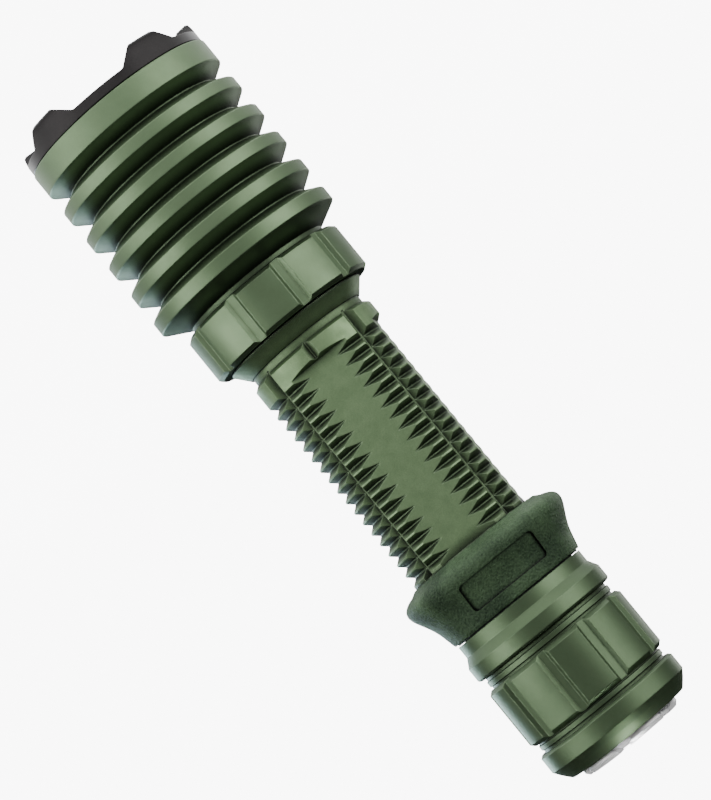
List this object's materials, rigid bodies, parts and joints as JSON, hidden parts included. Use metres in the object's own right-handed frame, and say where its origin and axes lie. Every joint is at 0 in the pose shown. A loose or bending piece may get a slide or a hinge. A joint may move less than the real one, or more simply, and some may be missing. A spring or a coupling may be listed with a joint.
{
  "type": "tactical flashlight",
  "caption": "Tubular hand torch with a finned head, crenellated strike bezel, toothed battery tube, flared rubber grip ring and a push-button tail cap.",
  "frame": {"origin": "centre of the plane of the bezel's lug tips, on which the light stands head down", "axes": "+Z along the light's long axis, from the head to the tail; the front one of the tube's milled flats faces -Y"},
  "size_m": [0.0404, 0.0404, 0.1548],
  "materials": {
    "green_anodised": "matte olive green hard anodised",
    "black_steel": "satin black coated",
    "lens_glass": "clear, coated",
    "black_rubber": "matte",
    "green_rubber": "fine moulded grain",
    "mirror_reflector": "polished, smooth",
    "copper_board": "bare copper with white solder mask",
    "led_phosphor": "yellow phosphor",
    "white_plastic": "matte",
    "steel_screws": "plated",
    "red_wire_sleeve": "silicone sleeve",
    "circuit_board": "green solder mask",
    "chip_plastic": "moulded",
    "brass_ring": "turned",
    "gold_contact": "gold plated",
    "nickel_can": "nickel plated",
    "cell_sleeve": "shrink sleeve",
    "black_plastic": "moulded",
    "spring_steel": "drawn wire",
    "silver_contact": "satin silver"
  },
  "bodies": {
    "head": {"strike_bezel": "black_steel", "lens_glass": "lens_glass", "lens_seal": "black_rubber", "reflector": "mirror_reflector", "led_board": "copper_board", "led_emitter": "led_phosphor", "led_centring_ring": "white_plastic", "led_board_screws": "steel_screws", "lead_wires": "red_wire_sleeve", "head_housing": "green_anodised", "driver_board": "circuit_board", "driver_parts": "chip_plastic", "driver_ring": "brass_ring", "front_contact": "gold_contact", "anti_roll_collar": "green_anodised", "collar_gasket": "black_rubber"},
    "neck_thread": {"neck_seal": "black_rubber"},
    "tube": {"body_tube": "green_anodised", "tail_seal": "black_rubber", "grip_ring": "green_rubber", "battery_can": "nickel_can", "battery_sleeve": "cell_sleeve", "battery_button": "nickel_can", "battery_washer": "white_plastic"},
    "cap_thread": {"cell_spring": "gold_contact"},
    "cap": {"tail_cap": "green_anodised", "switch_ring": "brass_ring", "switch_board": "circuit_board", "tact_switch": "steel_screws", "switch_holder": "black_plastic", "charge_magnet": "nickel_can", "button_bush": "black_plastic", "button_spring": "spring_steel"},
    "button": {"tail_button": "silver_contact", "button_stem": "black_plastic", "button_seal": "black_rubber"}
  },
  "joints": [
    {"name": "tube_lift", "type": "slide", "parent": "head", "child": "neck_thread", "axis": [0, 0, 1], "range_m": [0, 0.004]},
    {"name": "tube_turn", "type": "hinge", "parent": "neck_thread", "child": "tube", "pos_m": [0, 0, 0.055], "axis": [0, 0, 1], "range_deg": [0, 1440.1]},
    {"name": "cap_lift", "type": "slide", "parent": "tube", "child": "cap_thread", "axis": [0, 0, 1], "range_m": [0, 0.005]},
    {"name": "cap_turn", "type": "hinge", "parent": "cap_thread", "child": "cap", "pos_m": [0, 0, 0.125], "axis": [0, 0, 1], "range_deg": [0, 1800.1]},
    {"name": "button_press", "type": "slide", "parent": "cap", "child": "button", "axis": [0, 0, -1], "range_m": [0, 0.0012], "stiffness_N_per_m": 1500, "springref_m": -0.002, "deforming": ["button_spring"]}
  ],
  "couplings": [
    {"joint": "tube_turn", "follows": "tube_lift", "rad_per_m": 6283.2},
    {"joint": "cap_turn", "follows": "cap_lift", "rad_per_m": 6283.2}
  ]
}
